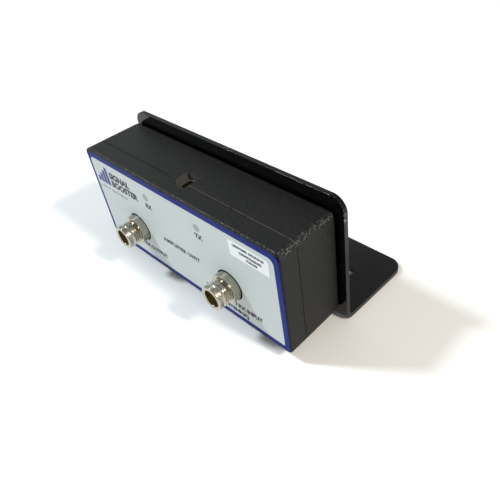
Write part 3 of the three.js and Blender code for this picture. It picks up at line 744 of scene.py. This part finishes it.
class AMPLIFIER_OT_ports(bpy.types.Operator):
    """Models the two screw ports: threaded shell on its flange, insulator and slotted contact"""
    bl_idname = "amplifier.ports"
    bl_label = "Ports"

    def execute(self, context):
        s = context.scene.amp_ports
        for side in SIDES:
            self.shell(s, side)
            self.core(s, side)
            self.contact(s, side)
        return {"FINISHED"}

    def shell(self, s, side):
        low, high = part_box(f"port_{side}_shell")
        tip, tail = low.y, high.y
        centre = port_axis(side)
        shoulder = FACE_Y - s.collar_length
        flange_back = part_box("chassis")[0].y - GAP
        flange_front = flange_back - s.flange_thickness
        root = s.thread - s.thread_depth
        barrel = s.core + s.barrel_wall
        lead = 2.7 * MM
        profile = [
            (s.core, tail), (s.core, shoulder + 0.2 * MM), (s.core + 0.2 * MM, shoulder),
            (s.bore - 0.1 * MM, shoulder), (s.bore, shoulder - 0.1 * MM),
            (s.bore, tip + 0.55 * MM), (s.bore + 0.12 * MM, tip + 0.40 * MM),
            (s.bore + 0.45 * MM, tip + 0.08 * MM), (s.bore + 0.60 * MM, tip),
            (s.thread - 0.70 * MM, tip), (s.thread - 0.50 * MM, tip + 0.06 * MM),
            (s.thread - 0.08 * MM, tip + 0.42 * MM), (s.thread, tip + 0.60 * MM),
            (s.thread, tip + lead - 0.1 * MM), (s.thread - 0.1 * MM, tip + lead),
            (root - 0.35 * MM, tip + lead + 0.15 * MM), (root - 0.35 * MM, tip + lead + 0.8 * MM),
        ]
        profile += thread_profile(tip + lead + 0.8 * MM, shoulder - 0.8 * MM, s.thread,
                                  s.thread_depth, s.pitch)
        profile += [
            (root - 0.4 * MM, shoulder - 0.75 * MM), (root - 0.4 * MM, shoulder - 0.05 * MM),
            (root - 0.3 * MM, shoulder), (s.collar - 0.35 * MM, shoulder),
            (s.collar - 0.1 * MM, shoulder + 0.1 * MM), (s.collar, shoulder + 0.35 * MM),
            (s.collar, flange_front + MM), (barrel, flange_front + MM),
            (barrel, tail - 0.2 * MM), (barrel - 0.2 * MM, tail), (s.core, tail),
        ]
        body = turned(f"port_{side}_body", profile, centre, 96, hollow=True)
        x, z = centre
        flange = block("flange", (x - s.flange, flange_back, z - s.flange),
                       (x + s.flange, flange_front, z + s.flange))
        round_edges(flange, runs_along(Y), 1.5 * MM, 6)
        carve(flange, rod("opening", (x, flange_front - MM, z), (x, flange_back + MM, z),
                          s.core + MM, Y, 64))
        screw_holes(flange, f"flange_screw_{side}", flange_front - MM, flange_back + MM, 24)
        weld(body, flange)
        soften(body, 0)
        body.data.materials.append(bpy.data.materials["nickel_plate"])
        body.data.materials.append(bpy.data.materials["warm_bore"])
        edit(body, "faces", lambda f: all(
            math.hypot(v.co.x - x, v.co.z - z) < s.bore + 0.05 * MM for v in f.verts)
            and f.calc_center_median().y < shoulder + MM)
        body.active_material_index = 1
        bpy.ops.object.material_slot_assign()
        leave()
        hand_over(body, "base", "nickel", None, f"port_{side}_shell")

    def core(self, s, side):
        low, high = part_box(f"port_{side}_insulator")
        outer, inner = s.core - GAP / 2, s.contact + GAP / 2
        edge = 0.15 * MM
        core = turned(f"port_{side}_core", [
            (inner, high.y), (inner, low.y + 0.9 * MM), (inner + 0.7 * MM, low.y + 0.9 * MM),
            (inner + 0.7 * MM, low.y), (outer - edge, low.y), (outer, low.y + edge),
            (outer, high.y), (inner, high.y)], port_axis(side), 64, hollow=True)
        soften(core, 0)
        hand_over(core, "base", "insulator", "white_insulator", f"port_{side}_insulator")

    def contact(self, s, side):
        low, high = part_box(f"port_{side}_contact")
        x, z = port_axis(side)
        hole = 0.85 * MM
        edge = 0.25 * MM
        profile = [
            (hole, low.y + 4 * MM), (hole, low.y + edge), (hole + 0.15 * MM, low.y),
            (s.contact - edge, low.y), (s.contact, low.y + edge),
            (s.contact, high.y - 8 * MM), (0.8 * MM, high.y - 8 * MM), (0.8 * MM, high.y),
            (0.3 * MM, high.y), (0.3 * MM, low.y + 4 * MM), (hole, low.y + 4 * MM)]
        pin = turned(f"port_{side}_pin", profile, (x, z), 48, hollow=True)
        slit = 0.14 * MM
        for low_corner, high_corner in (
                ((x - slit, low.y - MM, z - 3 * MM), (x + slit, low.y + 3.6 * MM, z + 3 * MM)),
                ((x - 3 * MM, low.y - MM, z - slit), (x + 3 * MM, low.y + 3.6 * MM, z + slit))):
            carve(pin, block("slit", low_corner, high_corner))
        soften(pin, 0)
        hand_over(pin, "base", "gold", "gold_plate", f"port_{side}_contact")


# ------------------------------------------------------------------ operators: the screws
def screw_pattern(name, length_along, facing):
    """A pan-head screw at the origin, its seat on y = 0; its head faces +Y or -Y."""
    head, shank, root, pitch = 2.6 * MM, 1.25 * MM, 1.02 * MM, 0.5 * MM
    rise = SCREW_RISE
    profile = [(root, -length_along), (root, -length_along + 0.2 * MM)]
    turns = int((length_along - 0.8 * MM) / pitch)
    for i in range(turns):
        y = -length_along + 0.3 * MM + i * pitch
        profile += [(shank, y + 0.25 * pitch), (root, y + 0.75 * pitch)]
    profile += [(root, 0), (head - 0.1 * MM, 0), (head, 0.15 * MM), (head, 0.55 * MM),
                (head * 0.93, 0.95 * MM), (head * 0.78, 1.30 * MM), (head * 0.52, rise - 0.08 * MM),
                (head * 0.28, rise)]
    piece = turned(name, [(radius, facing * y) for radius, y in profile], (0, 0), 24)
    reach, half = 1.45 * MM, 0.24 * MM
    for across, up in ((reach, half), (half, reach)):
        slot = block("slot", (-across, facing * (rise - 0.95 * MM), -up),
                     (across, facing * (rise + MM), up))
        deep = facing * (rise - 0.95 * MM)
        edit(slot, "faces", lies_at(Y, deep))
        bpy.ops.transform.resize(value=(0.55, 1, 0.55), center_override=(0, deep, 0))
        leave()
        carve(piece, slot)
    return soften(piece, 0)


class AMPLIFIER_OT_screws(bpy.types.Operator):
    """Models the four kinds of pan-head screw and sets a copy in every place"""
    bl_idname = "amplifier.screws"
    bl_label = "Screws"

    def execute(self, context):
        kinds = (
            ("flange_screw_left", -1), ("flange_screw_right", -1),
            ("lid_screw", 1), ("board_screw", 1), ("bracket_screw", 1))
        for kind, facing in kinds:
            low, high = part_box(f"{kind}_1")
            pattern = screw_pattern("pattern", high.y - low.y - SCREW_RISE, facing)
            for i in FOUR:
                low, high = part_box(f"{kind}_{i}")
                seat = low.y + SCREW_RISE if facing < 0 else high.y - SCREW_RISE
                place = ((low.x + high.x) / 2, seat, (low.z + high.z) / 2)
                screw = copy_of(pattern, f"{kind}_{i}_cross", place)
                hand_over(screw, "base", "zinc", "zinc_plate", f"{kind}_{i}")
            bpy.data.objects.remove(pattern)
        return {"FINISHED"}


# ------------------------------------------------------------------ materials
def maths(operation, swapped=False):
    """A method that adds one Math node to a wire."""
    def method(self, other=0.0):
        first, second = (other, self) if swapped else (self, other)
        return self.node("ShaderNodeMath", {"operation": operation}, {0: first, 1: second})
    return method


class Wire:
    """A value on its way through a material's nodes. Sums on it add Math nodes."""
    __add__, __radd__ = maths("ADD"), maths("ADD", swapped=True)
    __sub__, __rsub__ = maths("SUBTRACT"), maths("SUBTRACT", swapped=True)
    __mul__, __rmul__ = maths("MULTIPLY"), maths("MULTIPLY", swapped=True)
    __gt__, __abs__ = maths("GREATER_THAN"), maths("ABSOLUTE")
    at_most, at_least = maths("MINIMUM"), maths("MAXIMUM")

    def __init__(self, tree, socket=None):
        self.tree, self.socket = tree, socket

    def node(self, kind, settings=None, inputs=None, output=0):
        """Adds any node: its settings are set first, then its inputs."""
        node = self.tree.nodes.new(kind)
        for key, value in (settings or {}).items():
            setattr(node, key, value)
        for key, value in (inputs or {}).items():
            if isinstance(value, Wire):
                self.tree.links.new(value.socket, node.inputs[key])
            else:
                node.inputs[key].default_value = value
        return Wire(self.tree, node.outputs[output])

    def between(self, low, high):
        """0 below low, 1 above high, and smooth from one to the other."""
        return self.node("ShaderNodeMapRange", {"interpolation_type": "SMOOTHSTEP"},
                         {"Value": self, "From Min": low, "From Max": high})

    def part(self, axis):
        return self.node("ShaderNodeSeparateXYZ", None, {0: self}, axis)

    def stretched(self, x, y, z):
        return self.node("ShaderNodeVectorMath", {"operation": "MULTIPLY"},
                         {0: self, 1: (x, y, z)})

    def noise(self, size, detail=2.0, roughness=0.5):
        """Cloudy noise whose patches are about size metres across."""
        return self.node("ShaderNodeTexNoise", None, {
            "Vector": self, "Scale": 1 / size, "Detail": detail, "Roughness": roughness})

    def cells(self, size, feature="F1"):
        return self.node("ShaderNodeTexVoronoi", {"feature": feature},
                         {"Vector": self, "Scale": 1 / size})

    def tint(self, first, second):
        """Colour first where this is 0 and second where it is 1."""
        ends = [(*c, 1) if isinstance(c, tuple) else c for c in (first, second)]
        return self.node("ShaderNodeMix", {"data_type": "RGBA"},
                         {0: self, 6: ends[0], 7: ends[1]}, 2)

    def bump(self, depth):
        return self.node("ShaderNodeBump", None, {"Height": self, "Distance": depth})


def new_finish(name, **sockets):
    """A material, its shader node and its Object coordinates. Constants sit on its sockets."""
    material = bpy.data.materials.new(name)
    material.use_nodes = True
    tree = material.node_tree
    shader = tree.nodes["Principled BSDF"]
    for key, value in sockets.items():
        shader.inputs[key.replace("_", " ")].default_value = value
    place = Wire(tree).node("ShaderNodeTexCoord", output=3)

    def feed(**links):
        for key, wire in links.items():
            tree.links.new(wire.socket, shader.inputs[key.replace("_", " ")])
    return place, feed


def scaled(tint, factor):
    return tuple(min(1.0, c * factor) for c in tint)


def paint_finish(c):
    """Gloss black over steel: orange peel, dust, fine scuffs, and chips on the upper edge. Painted
    light: the foot is painted a lighter black than the upright plate, whose darker tone is painted
    shade.
    """
    place, feed = new_finish("gloss_paint", Specular_IOR_Level=0.25)
    x, y, z = (place.part(i) for i in range(3))
    edge = z.between(plate_high.z - 1.3 * MM, plate_high.z - 0.25 * MM)
    right = x.between(plate_high.x - 1.6 * MM, plate_high.x - 0.3 * MM)
    front = 1 - y.between(PLATE_Y + 1.2 * MM, PLATE_Y + 2.6 * MM)
    near_edge = edge.at_least(right * (z > plate_high.z - 14 * MM)) * front
    worn = place.noise(26 * MM, 1).between(0.50, 0.66) + x.between(74 * MM, 84 * MM) * 1.4
    chip = (place.noise(1.1 * MM, 2) + near_edge * worn * 0.12).between(0.775, 0.790)
    chip = chip * near_edge.between(0.1, 0.4)
    scuff = place.stretched(1, 1, 0.12).noise(0.5 * MM, 3).between(0.66, 0.80) * 0.5
    dust = place.noise(0.45 * MM, 2).between(0.70, 0.78) * place.noise(9 * MM).between(0.4, 0.7)
    # Painted light: below about 3.5 to 6 mm, over the foot and the lower end of the bend, the black
    # is painted lighter (0.0100) and mottled. This stands in for the light falling on the foot,
    # while the upright plate keeps the darker tone as painted shade.
    foot = (1 - z.between(3.5 * MM, 6 * MM)) * (0.7 + place.noise(14 * MM, 3) * 0.6)
    base = (foot * 0.9).tint(tuple(c.steel_paint), (0.0100, 0.0100, 0.0105))
    base = dust.tint(base, (0.02, 0.02, 0.019))
    feed(Base_Color=chip.tint(base, tuple(c.bare_steel)),
         Roughness=0.09 + scuff * 0.25 + dust * 0.4 + chip * 0.25,
         Metallic=chip * 0.9,
         Normal=(place.noise(1.3 * MM, 1) + place.noise(0.35 * MM, 1) * 0.25 - chip * 1.5).bump(
             0.008 * MM))


def plastic_finish(c, p):
    """Black moulded plastic with a spark-eroded grain. Dust lies in the pockets and the seam. Light
    grey flecks on the rounded edges are painted glints, and the parting gap and front rim are
    painted near black as shade.
    """
    place, feed = new_finish("moulded_plastic", Specular_IOR_Level=0.22)
    x, y = place.part(X), place.part(Y)
    height = abs(place.part(Z) - MID_Z)
    grain = place.noise(0.8 * MM, 3, 0.65)
    pits = place.cells(0.7 * MM)
    patches = place.noise(22 * MM, 3)
    fleck = place.noise(0.55 * MM, 2).between(0.62, 0.72)
    # Painted highlights: this edge mask picks the four long rounded edges and the front rim. Light
    # grey flecks are painted there as glints off the grain, with a sparse few elsewhere.
    edge = (abs(x - MID_X).between(HALF_X - 4.4 * MM, HALF_X - 1.5 * MM)
            * height.between(HALF_Z - 4.4 * MM, HALF_Z - 1.5 * MM)).at_least(
        (1 - y.between(FACE_Y + 0.9 * MM, FACE_Y + 1.8 * MM)) * height.between(
            HALF_Z - 3 * MM, HALF_Z - MM))
    painted_edge_glints = place.noise(0.85 * MM, 2).between(0.54, 0.62) * (0.04 + edge * 0.55)
    scratch = place.stretched(0.05, 1, 1).noise(0.22 * MM, 2).between(0.72, 0.80)
    inside = (1 - abs(x - MID_X).between(p.left + 0.3 * MM, p.left + 0.6 * MM)) * (
        1 - height.between(HALF_Z - 0.9 * MM, HALF_Z - 0.3 * MM)) * height.between(
        HALF_Z - p.depth - 0.4 * MM, HALF_Z - p.depth - 0.1 * MM)
    pocket = inside * (1 - abs(y - PARTING_Y).between(p.behind + 0.3 * MM, p.behind + 0.8 * MM))
    seam = (1 - abs(y - PARTING_Y - 0.30 * MM).between(0.12 * MM, 0.30 * MM)) * (
        height > HALF_Z - 3 * MM) * x.between(MID_X - 20 * MM, MID_X + 5 * MM) * place.noise(
        4 * MM, 2).between(0.30, 0.45)
    dust = (pocket * (0.45 + place.noise(1.6 * MM, 3) * 0.6)).at_least(seam * 0.7)
    dust = dust.at_least(fleck * place.noise(14 * MM, 2).between(0.40, 0.65) * 0.16)
    base = patches.tint(scaled(c.plastic, 0.8), scaled(c.plastic, 1.3))
    # This light grey tint carries both the painted edge glints and the real light scratches.
    base = (painted_edge_glints + scratch * 0.06).tint(base, (0.20, 0.195, 0.185))
    # Painted shade: the 0.3 mm parting gap and a thin band along the cover's front, round the
    # label, are painted near black.
    painted_gap_shade = (1 - abs(y - PARTING_Y).between(0.32 * MM, 0.62 * MM)).at_least(
        1 - y.between(FACE_Y + 0.25 * MM, FACE_Y + 0.65 * MM))
    base = (painted_gap_shade * 0.95).tint(base, (0.0, 0.0, 0.0))
    feed(Base_Color=dust.tint(base, (0.100, 0.094, 0.083)),
         Roughness=0.34 + patches * 0.10 + grain * 0.10 + dust * 0.3,
         Normal=(grain + pits * 0.5).bump(0.34 * MM))


def label_finish(c, sizes):
    """Pale printed film: blue border with its own rounding, two grey lamp dots, faint grain."""
    place, feed = new_finish("printed_film", Specular_IOR_Level=0.06)
    x, z = place.part(X), place.part(Z)
    low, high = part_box("face_label")
    x0, x1 = low.x + sizes.border_left, high.x - sizes.border_right
    z0, z1 = low.z + sizes.border_bottom, high.z - sizes.border_top
    upper = z.between(MID_Z - MM, MID_Z + MM)
    radius = sizes.corner_low + upper * (sizes.corner_high - sizes.corner_low)
    across = abs(x - (x0 + x1) / 2) - (x1 - x0) / 2 + radius
    along = abs(z - (z0 + z1) / 2) - (z1 - z0) / 2 + radius
    outside = place.node("ShaderNodeCombineXYZ", None,
                         {0: across.at_least(0.0), 2: along.at_least(0.0)})
    corner = outside.node("ShaderNodeVectorMath", {"operation": "LENGTH"}, {0: outside}, 1)
    distance = corner + across.at_least(along).at_most(0.0) - radius
    wobble = (place.noise(0.6 * MM, 2) - 0.5) * (0.10 * MM)
    border = (distance + wobble).between(-0.05 * MM, 0.05 * MM)
    dots = None
    for name in ("rx", "tx"):
        middle = middle_of(f"led_window_{name}")
        place_from = place.node("ShaderNodeVectorMath", {"operation": "DISTANCE"}, {
            0: place.stretched(1, 0, 1), 1: (middle.x, 0, middle.z)}, 1)
        dot = 1 - place_from.between(2.60 * MM, 2.80 * MM)
        dots = dot if dots is None else dots + dot
    cloud = place.noise(30 * MM, 2)
    specks = place.noise(0.5 * MM, 2).between(0.74, 0.79) * 0.35
    smear = place.stretched(1, 1, 0.2).noise(6 * MM, 3).between(0.5, 0.8)
    face = cloud.tint(scaled(c.label, 0.97), scaled(c.label, 1.03))
    face = (specks + smear * 0.05).tint(face, scaled(c.label, 0.55))
    face = (dots * 0.8).tint(face, (0.27, 0.285, 0.275))
    blue = place.noise(4 * MM, 3).tint(scaled(c.border, 0.92), scaled(c.border, 1.10))
    film = place.noise(0.18 * MM, 2)
    side = x.between(high.x - (0.9 + 0.5) * MM, high.x - 0.1 * MM)
    peeled = (place.noise(1.1 * MM, 2) + side * 0.20).between(0.66, 0.70) * (side > 0.02)
    blue = (peeled * 0.8).tint(blue, (0.004, 0.005, 0.02))
    feed(Base_Color=border.tint(face, blue),
         Roughness=0.34 + film * 0.12 + smear * 0.08 - dots * 0.14,
         Normal=(film + border * 1.2 - dots * 1.5).bump(0.008 * MM))


def ink_finish(name, tint):
    """Screen-printed ink, thin and a little uneven."""
    place, feed = new_finish(name, Specular_IOR_Level=0.4)
    grain = place.noise(0.16 * MM, 2)
    feed(Base_Color=grain.tint(scaled(tint, 0.8), scaled(tint, 1.35)),
         Roughness=0.36 + grain * 0.2, Normal=grain.bump(0.004 * MM))


def sticker_finish(c):
    """White paper with three rows of neutral marks in place of any printed words."""
    place, feed = new_finish("sticker_paper", Specular_IOR_Level=0.4)
    low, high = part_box("serial_sticker")
    x, z = place.part(X), place.part(Z)
    marks = None
    rows = ((1.5, 3.0, 26.0), (4.8, 7.5, 24.0), (7.6, 12.5, 20.5))
    for i, (drop, start, end) in enumerate(rows):
        top = high.z - drop * MM
        row = z.between(top - 1.85 * MM, top - 1.75 * MM) * (1 - z.between(top, top + 0.1 * MM))
        span = x.between(low.x + start * MM, low.x + (start + 0.2) * MM) * (
            1 - x.between(low.x + end * MM, low.x + (end + 0.2) * MM))
        shifted = place.node("ShaderNodeVectorMath", {"operation": "ADD"},
                             {0: place.stretched(1, 0, 0.55), 1: (0.013 * i, 0, 0)})
        stroke = shifted.noise(0.50 * MM, 1).between(0.40, 0.46)
        word = shifted.stretched(1, 0, 0).noise(2.1 * MM, 0).between(0.30, 0.33)
        line = row * span * stroke * word
        marks = line if marks is None else marks + line
    fibres = place.stretched(0.4, 1, 1).noise(0.3 * MM, 3)
    paper = fibres.tint(scaled(c.sticker, 0.96), scaled(c.sticker, 1.03))
    feed(Base_Color=marks.tint(paper, tuple(c.ink)),
         Roughness=0.42 + fibres * 0.15, Normal=fibres.bump(0.010 * MM))


def turned_metal(name, tint, rough, dull):
    """Plated metal with lathe rings along Y, dull blotches and small dark stains."""
    place, feed = new_finish(name, Specular_IOR_Level=0.5)
    rings = place.stretched(0.02, 1, 0.02).noise(0.10 * MM, 2)
    blotch = place.noise(3.2 * MM, 4, 0.6)
    stain = place.noise(0.9 * MM, 3).between(0.66, 0.78) * 0.45
    base = blotch.tint(scaled(tint, 0.80), scaled(tint, 1.05))
    feed(Base_Color=stain.tint(base, scaled(tint, 0.12)),
         Metallic=1 - stain * 0.3,
         Roughness=rough + blotch.between(0.45, 0.75) * dull + stain * 0.25,
         Normal=(rings + blotch * 0.2).bump(0.004 * MM))


def cast_metal(name, tint, grain, depth, rough):
    """Sand-grained or blasted metal."""
    place, feed = new_finish(name, Specular_IOR_Level=0.5)
    pits = place.noise(grain * MM, 4, 0.6)
    cloud = place.noise(12 * MM, 2)
    feed(Base_Color=cloud.tint(scaled(tint, 0.88), scaled(tint, 1.06)),
         Metallic=0.92 + cloud * 0.08,
         Roughness=rough + pits * 0.15, Normal=pits.bump(depth * MM))


def board_finish(c):
    """Green solder mask with copper tracks showing through and rows of plated dots."""
    place, feed = new_finish("circuit_green", Specular_IOR_Level=0.5)
    tracks = place.cells(3.5 * MM, "DISTANCE_TO_EDGE").between(0.03, 0.06)
    weave = place.stretched(1, 0, 1).noise(0.5 * MM, 1)
    pads = 1 - place.cells(2.4 * MM).between(0.10, 0.13)
    base = tracks.tint(scaled(c.board, 1.9), tuple(c.board))
    base = pads.tint(base, tuple(c.gold))
    feed(Base_Color=base, Metallic=pads * 0.9, Roughness=0.32 + weave * 0.15,
         Normal=(weave * 0.3 - tracks + pads).bump(0.02 * MM))


def small_finish(name, tint, size, depth, rough, spec=0.5, **sockets):
    """Plain moulded, fired or cast body of a small component, with mottling and grain."""
    place, feed = new_finish(name, Specular_IOR_Level=spec, **sockets)
    grain = place.noise(size * MM, 3)
    cloud = place.noise(size * 12 * MM, 2)
    feed(Base_Color=cloud.tint(scaled(tint, 0.85), scaled(tint, 1.15)),
         Roughness=rough + grain * 0.15, Normal=grain.bump(depth * MM))


def floor_finish(tint):
    place, feed = new_finish("pale_floor", Specular_IOR_Level=0.2, Roughness=0.75)
    feed(Base_Color=place.noise(120 * MM, 2).tint(scaled(tint, 0.99), scaled(tint, 1.01)))


class AMPLIFIER_OT_finishes(bpy.types.Operator):
    """Makes every material and paints the nodes that stay as they are"""
    bl_idname = "amplifier.finishes"
    bl_label = "Finishes"

    def execute(self, context):
        c = context.scene.amp_finishes
        paint_finish(c)
        plastic_finish(c, context.scene.amp_pocket)
        label_finish(c, context.scene.amp_label)
        ink_finish("print_ink", tuple(c.ink))
        ink_finish("print_blue", tuple(c.border))
        sticker_finish(c)
        turned_metal("nickel_plate", tuple(c.nickel), 0.20, 0.14)
        turned_metal("warm_bore", tuple(c.bore), 0.30, 0.12)
        turned_metal("gold_plate", tuple(c.gold), 0.18, 0.10)
        turned_metal("zinc_plate", tuple(c.zinc), 0.28, 0.15)
        cast_metal("blasted_casting", tuple(c.casting), 0.5, 0.03, 0.38)
        cast_metal("sheet_tin", scaled(c.zinc, 1.1), 1.8, 0.008, 0.22)
        board_finish(c)
        small_finish("clouded_window", (0.42, 0.44, 0.43), 0.3, 0.01, 0.25)
        small_finish("white_insulator", (0.74, 0.72, 0.66), 0.4, 0.01, 0.38)
        small_finish("chip_package", (0.018, 0.018, 0.020), 0.15, 0.01, 0.45)
        small_finish("fired_ceramic", (0.62, 0.58, 0.50), 0.2, 0.02, 0.40)
        small_finish("lamp_lens", (0.16, 0.62, 0.22), 0.6, 0.005, 0.12, Coat_Weight=0.6)
        stays = {
            "blasted_casting": ("chassis", "chassis_lid", "receive_heat_block",
                               "transmit_heat_block"),
            "sheet_tin": ("duplexer_left", "duplexer_right", "capacitor_1", "capacitor_2"),
            "circuit_green": ("circuit_board",),
            "fired_ceramic": ("receive_amplifier", "transmit_amplifier"),
            "chip_package": ("rf_switch", "regulator", "bias_choke"),
            "lamp_lens": ("led_rx", "led_tx"),
        }
        for finish, names in stays.items():
            for name in names:
                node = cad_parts[name]
                node.data.materials.clear()
                node.data.materials.append(bpy.data.materials[finish])
        return {"FINISHED"}


# ------------------------------------------------------------------ the stage
def soft_light(name, target, travel, energy, tint):
    """An area light that shines on a point along its travel."""
    way = Vector(travel).normalized()
    clear_selection()
    bpy.ops.object.light_add(type="AREA", location=Vector(target) - way * LIGHT_DISTANCE)
    light = bpy.context.object
    light.name = name
    light.rotation_euler = way.to_track_quat("-Z", "Y").to_euler()
    light.data.shape = "DISK"
    light.data.size = LIGHT_SIZE
    light.data.energy = energy
    light.data.color = tint
    light.visible_camera = False


class AMPLIFIER_OT_stage(bpy.types.Operator):
    """Sets out the pale floor, the soft lights and the camera"""
    bl_idname = "amplifier.stage"
    bl_label = "Stage"

    def execute(self, context):
        s = context.scene.amp_stage
        floor_finish(tuple(s.floor))
        clear_selection()
        bpy.ops.mesh.primitive_plane_add(size=12, location=(0, 0, -0.02 * MM))
        floor = settle("floor")
        floor.data.materials.append(bpy.data.materials["pale_floor"])

        world = bpy.data.worlds.new("studio")
        world.use_nodes = True
        sky = Wire(world.node_tree).node("ShaderNodeTexCoord", output=0)
        rise = sky.part(Z).between(0.25, 0.75)
        window = sky.node("ShaderNodeVectorMath", {"operation": "DOT_PRODUCT"},
                          {0: sky, 1: (-0.82, 0.38, 0.43)}, 1).between(0.86, 1.0)
        glow = (rise - window * 1.9).tint(scaled(SKY_TINT, s.sky * 1.5),
                                          scaled(SKY_TINT, s.sky * 0.8))
        background = world.node_tree.nodes["Background"]
        world.node_tree.links.new(glow.socket, background.inputs["Color"])
        context.scene.world = world
        middle = (0, -20 * MM, 40 * MM)
        soft_light("left_softbox", middle, (0.553, 0.390, -0.737), s.left_power,
                   (0.88, 0.96, 1.0))
        soft_light("right_softbox", middle, (-0.745, -0.099, -0.660), s.right_power,
                   (1.0, 0.91, 0.77))

        clear_selection()
        bpy.ops.object.camera_add(
            location=CAMERA_PLACE, rotation=tuple(math.radians(a) for a in CAMERA_TURN))
        camera = context.object
        camera.name = "camera"
        camera.data.lens = s.lens
        camera.data.sensor_width = 36
        camera.data.shift_x, camera.data.shift_y = CAMERA_SHIFT
        camera.data.clip_start, camera.data.clip_end = 0.01, 50
        context.scene.camera = camera
        context.scene.view_settings.view_transform = "Standard"
        return {"FINISHED"}


# ------------------------------------------------------------------ add-on
STEPS = (
    AMPLIFIER_OT_finishes, AMPLIFIER_OT_bracket, AMPLIFIER_OT_rear_shell,
    AMPLIFIER_OT_cover_shell, AMPLIFIER_OT_latches, AMPLIFIER_OT_label, AMPLIFIER_OT_sticker,
    AMPLIFIER_OT_windows, AMPLIFIER_OT_ports, AMPLIFIER_OT_screws, AMPLIFIER_OT_stage,
)
GROUPS = {
    "amp_case": CaseSizes, "amp_pocket": PocketSizes, "amp_bracket": BracketSizes,
    "amp_label": LabelSizes, "amp_ports": PortSizes, "amp_finishes": Finishes,
    "amp_stage": StageSettings,
}


class AMPLIFIER_PT_panel(bpy.types.Panel):
    """Lists the sizes, the colours and the steps that build the amplifier"""
    bl_idname = "AMPLIFIER_PT_panel"
    bl_label = "Antenna Amplifier"
    bl_space_type = "VIEW_3D"
    bl_region_type = "UI"
    bl_category = "Amplifier"

    def draw(self, context):
        for step in STEPS:
            self.layout.operator(step.bl_idname)
        for name, group in GROUPS.items():
            box = self.layout.box()
            for prop in group.__annotations__:
                box.prop(getattr(context.scene, name), prop)


CLASSES = (*GROUPS.values(), *STEPS, AMPLIFIER_PT_panel)


def register():
    for cls in CLASSES:
        bpy.utils.register_class(cls)
    for name, group in GROUPS.items():
        setattr(bpy.types.Scene, name, bpy.props.PointerProperty(type=group))


def unregister():
    for name in GROUPS:
        delattr(bpy.types.Scene, name)
    for cls in reversed(CLASSES):
        bpy.utils.unregister_class(cls)


def main():
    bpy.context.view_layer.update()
    register()
    for step in STEPS:
        family, action = step.bl_idname.split(".")
        if getattr(getattr(bpy.ops, family), action)() != {"FINISHED"}:
            raise RuntimeError(f"{step.bl_label} did not finish")


if __name__ == "__main__":
    main()
